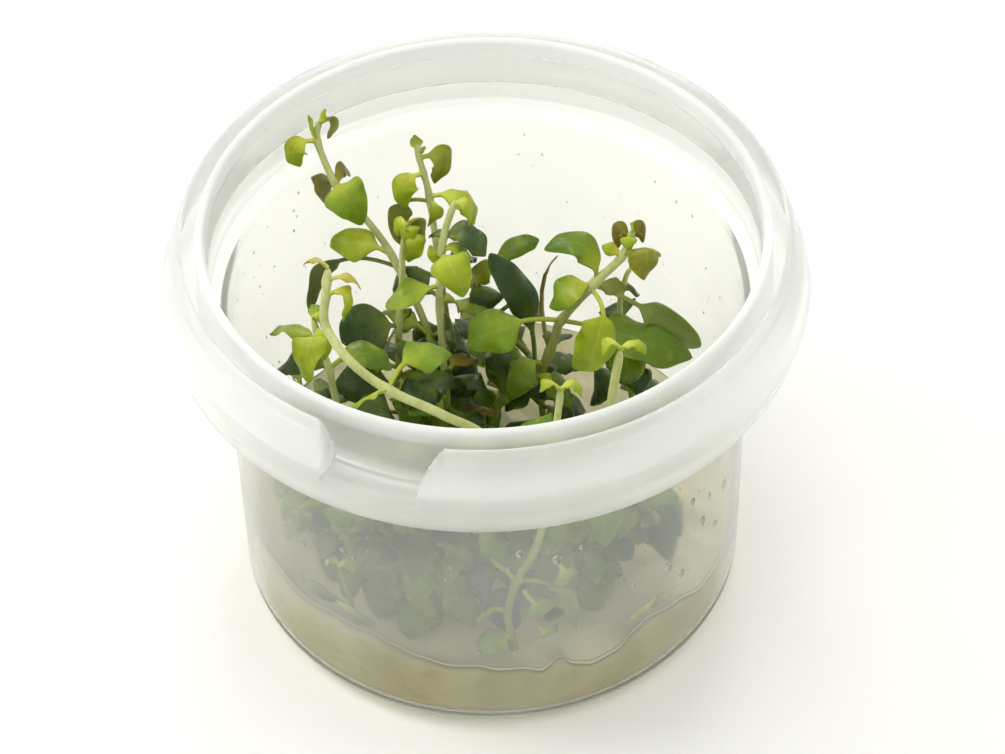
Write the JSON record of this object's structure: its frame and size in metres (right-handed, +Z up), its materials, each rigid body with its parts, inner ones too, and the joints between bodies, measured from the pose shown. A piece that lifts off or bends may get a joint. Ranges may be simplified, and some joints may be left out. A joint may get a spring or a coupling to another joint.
{
  "type": "ludwigia in a culture cup",
  "caption": "Young ludwigia shoots with leaves in pairs, rooted in clear gel in a low round open cup of milky plastic with a torn collar.",
  "frame": {"origin": "on the resting surface, under the middle of the cup", "axes": "+Z up, along the cup's axis; the gap torn in the collar faces -Y and a little -X"},
  "size_m": [0.1, 0.1, 0.072],
  "materials": {
    "cup_plastic": "thin milky plastic, translucent, satin",
    "gel": "clear to cloudy wet gel",
    "water": "small clear drops",
    "stem": "pale waxy stem",
    "root": "thin pale root",
    "young_leaf": "bright yellow-green waxy leaf",
    "green_leaf": "green waxy leaf",
    "dark_leaf": "dark green glossy leaf",
    "olive_leaf": "olive leaf",
    "brown_leaf": "brown-green leaf"
  },
  "bodies": {
    "root": {"cup": "cup_plastic", "gel": "gel", "left_shoot_stem": "stem", "left_shoot_curled_leaf": "olive_leaf", "left_shoot_hanging_leaf": "young_leaf", "left_shoot_front_leaf": "green_leaf", "left_shoot_brown_leaf": "brown_leaf", "left_shoot_light_leaf": "young_leaf", "left_shoot_strap_leaf": "dark_leaf", "back_shoot_stem": "stem", "back_shoot_right_leaf": "olive_leaf", "back_shoot_left_leaf": "young_leaf", "back_shoot_dark_leaf": "olive_leaf", "back_shoot_arching_leaf": "young_leaf", "middle_shoot_stem": "stem", "middle_shoot_blue_leaf": "dark_leaf", "middle_shoot_upper_leaf": "green_leaf", "middle_shoot_bright_leaf": "young_leaf", "middle_shoot_cupped_leaf": "green_leaf", "middle_shoot_slim_leaf": "dark_leaf", "middle_shoot_low_leaf": "green_leaf", "yellow_shoot_stem": "stem", "yellow_shoot_round_leaf": "young_leaf", "yellow_shoot_broad_leaf": "dark_leaf", "yellow_shoot_under_leaf": "dark_leaf", "short_shoot_stem": "stem", "short_shoot_narrow_leaf": "green_leaf", "short_shoot_fallen_leaf": "dark_leaf", "right_shoot_stem": "stem", "right_shoot_cupped_leaf": "olive_leaf", "right_shoot_folded_leaf": "green_leaf", "right_shoot_side_leaf": "green_leaf", "right_shoot_hanging_leaf": "young_leaf", "right_shoot_far_leaf": "green_leaf", "right_shoot_long_leaf": "young_leaf", "right_shoot_broad_leaf": "green_leaf", "right_shoot_tall_leaf": "dark_leaf", "right_shoot_back_leaf": "dark_leaf", "right_shoot_low_leaf": "brown_leaf", "thin_shoot_stem": "stem", "leaning_shoot_stem": "stem", "leaning_shoot_drooping_leaf": "young_leaf", "leaning_shoot_hidden_leaf": "young_leaf", "leaning_shoot_right_leaf": "young_leaf", "leaning_shoot_wall_leaf": "green_leaf", "leaning_shoot_left_low_leaf": "dark_leaf", "leaning_shoot_right_low_leaf": "dark_leaf", "pale_shoot_stem": "stem", "pale_shoot_front_leaf": "green_leaf", "pale_shoot_right_leaf": "dark_leaf", "front_shoot_stem": "stem", "front_shoot_side_leaf": "green_leaf", "front_shoot_bottom_leaf": "green_leaf", "low_shoot_stem": "stem", "low_shoot_yellow_leaf": "young_leaf", "low_shoot_left_leaf": "green_leaf", "low_shoot_dark_leaf": "dark_leaf", "low_shoot_right_leaf": "green_leaf", "low_shoot_wall_leaf": "dark_leaf", "seedling_stem": "stem"}
  },
  "joints": []
}
